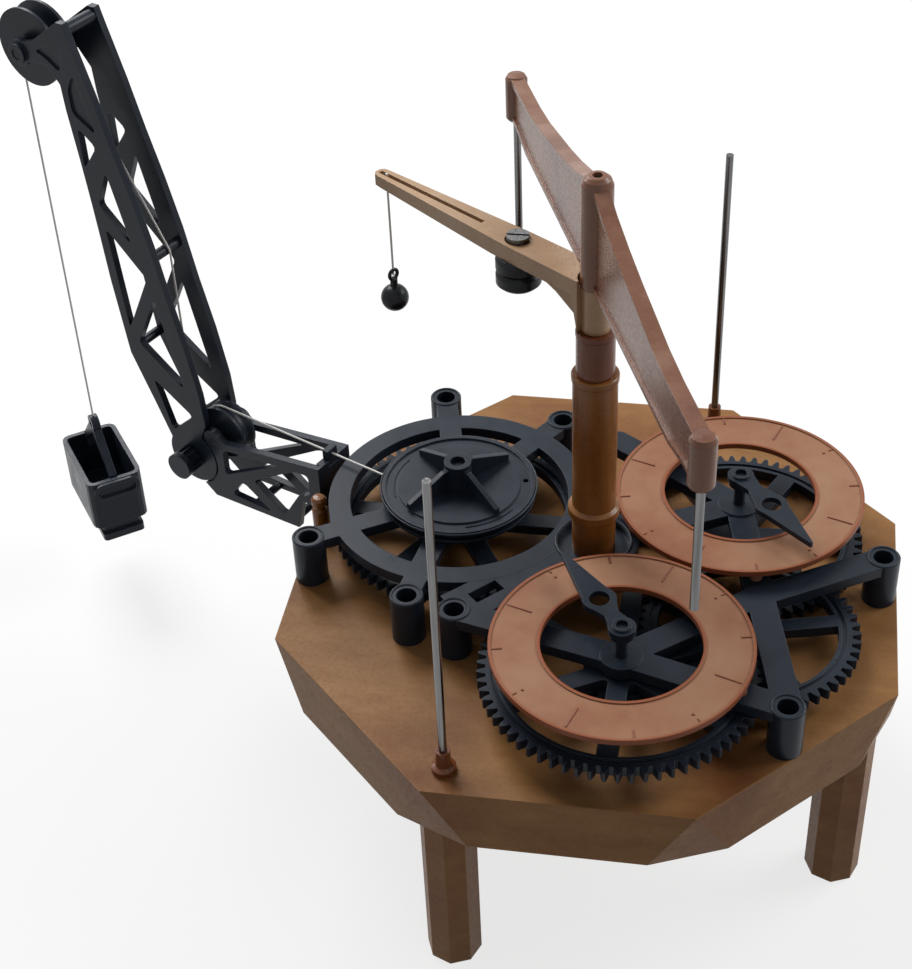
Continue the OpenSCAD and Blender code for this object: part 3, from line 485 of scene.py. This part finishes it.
# Rounded lips round the post tops and the column's seat
lipSet = {"level": 13.65, "post": 3.9, "postThick": 0.34, "seat": 9.75, "seatThick": 0.45,
          "drumPosts": [(-48.2, 56.6), (-73.6, -7.5), (-44.1, -26.4), (-14, 49.8)],
          "dialPosts": [(-31.5, -30), (73.2, 2.5), (51.1, -53)]}


def addLips():
    s = lipSet
    bm = bmesh.new()
    for post in s["drumPosts"] + s["dialPosts"]:
        addRing(bm, post, s["post"], s["postThick"], s["level"], 36)
    addPiece("postLips", bm, "base", greyPlastic)
    bm = bmesh.new()
    addRing(bm, (0, 0), s["seat"], s["seatThick"], s["level"], 60)
    addPiece("seatLip", bm, "base", greyPlastic)


addLips()
print("lips added")

# Shallow arcs moulded on the drum's disc, and a bead round its edge
drumSet = {"middle": (-37.393, 14.204), "level": 17.15, "edge": 20.7, "thick": 0.28,
           "arcs": [(15.2, -150, -95, 0.22), (17.6, -75, -28, 0.26), (13.4, 60, 118, 0.22), (17.2, 150, 205, 0.2)]}


def addArc(bm, middle, radius, thick, level, first, last):
    made = bmesh.ops.create_circle(bm, segments=8, radius=thick, cap_ends=True)["verts"]
    bmesh.ops.rotate(bm, verts=made, cent=(0, 0, 0), matrix=Matrix.Rotation(pi / 2, 3, "X"))
    bmesh.ops.translate(bm, verts=made, vec=(middle[0] + radius, middle[1], level))
    bmesh.ops.rotate(bm, verts=made, cent=(*middle, level), matrix=Matrix.Rotation(radians(first), 3, "Z"))
    faces = [f for f in bm.faces if all(v in made for v in f.verts)]
    bmesh.ops.spin(bm, geom=faces, cent=(*middle, level), axis=(0, 0, 1), angle=radians(last - first), steps=24)


def addDrumTrim():
    s = drumSet
    bm = bmesh.new()
    addRing(bm, s["middle"], s["edge"], s["thick"], s["level"], 96)
    for radius, first, last, thick in s["arcs"]:
        addArc(bm, s["middle"], radius, thick, s["level"], first, last)
    addPiece("drumTrim", bm, "drum", greyPlastic)


addDrumTrim()
print("drum trimmed")


# Floor, backdrop and lights
stageSet = {"reach": 3.0, "drop": 0.0004, "bounce": 0.38, "seen": 0.9, "clean": 0.76, "world": 0.22}


def addStage():
    s = stageSet
    bm = bmesh.new()
    bmesh.ops.create_grid(bm, x_segments=1, y_segments=1, size=s["reach"])
    bmesh.ops.translate(bm, verts=bm.verts, vec=(0, 0, -s["drop"]))
    mesh = bpy.data.meshes.new("floor")
    bm.to_mesh(mesh)
    bm.free()
    floor = bpy.data.objects.new("floor", mesh)
    scene.collection.objects.link(floor)
    mat, tree, shader = newMaterial("paleFloor")[:3]
    shade = mixed(tree, seenStraight(tree), (s["bounce"],) * 3, (s["seen"],) * 3)
    tree.links.new(shade, shader.inputs["Base Color"])
    shader.inputs["Roughness"].default_value = 0.9
    shader.inputs["Specular IOR Level"].default_value = 0.0
    white = tree.nodes.new("ShaderNodeEmission")
    blend = tree.nodes.new("ShaderNodeMixShader")
    seen = tree.nodes.new("ShaderNodeMath")
    seen.operation = "MULTIPLY"
    tree.links.new(seenStraight(tree), seen.inputs[0])
    seen.inputs[1].default_value = s["clean"]
    tree.links.new(seen.outputs["Value"], blend.inputs[0])
    tree.links.new(shader.outputs["BSDF"], blend.inputs[1])
    tree.links.new(white.outputs["Emission"], blend.inputs[2])
    tree.links.new(blend.outputs["Shader"], tree.nodes["Material Output"].inputs["Surface"])
    mesh.materials.append(mat)
    world = bpy.data.worlds.new("studio")
    scene.world = world
    world.use_nodes = True
    tree = world.node_tree
    back = tree.nodes["Background"]
    back.inputs["Color"].default_value = (1, 1, 1, 1)
    tree.links.new(spread(tree, seenStraight(tree), s["world"], 1.0, 0.0, 1.0), back.inputs["Strength"])


# The camera, glossy and clear surfaces all see the same white
def seenStraight(tree):
    path = tree.nodes.new("ShaderNodeLightPath")
    value = path.outputs["Is Camera Ray"]
    for name in ("Is Glossy Ray", "Is Transmission Ray"):
        most = tree.nodes.new("ShaderNodeMath")
        most.operation = "MAXIMUM"
        tree.links.new(value, most.inputs[0])
        tree.links.new(path.outputs[name], most.inputs[1])
        value = most.outputs["Value"]
    return value


def addLamp(name, place, aim, size, power):
    data = bpy.data.lights.new(name, "AREA")
    data.shape = "SQUARE"
    data.size = size
    data.energy = power
    lamp = bpy.data.objects.new(name, data)
    scene.collection.objects.link(lamp)
    way = Vector(aim) - Vector(place)
    lamp.matrix_world = Matrix.Translation(place) @ way.to_track_quat("-Z", "Y").to_matrix().to_4x4()


addStage()
lampAim = (0.02, 0, 0.08)
addLamp("keyLamp", (-0.55, 0.65, 0.9), lampAim, 0.6, 13)
addLamp("sideLamp", (0.8, 0.4, 0.7), lampAim, 0.5, 5.5)
print("studio lit")
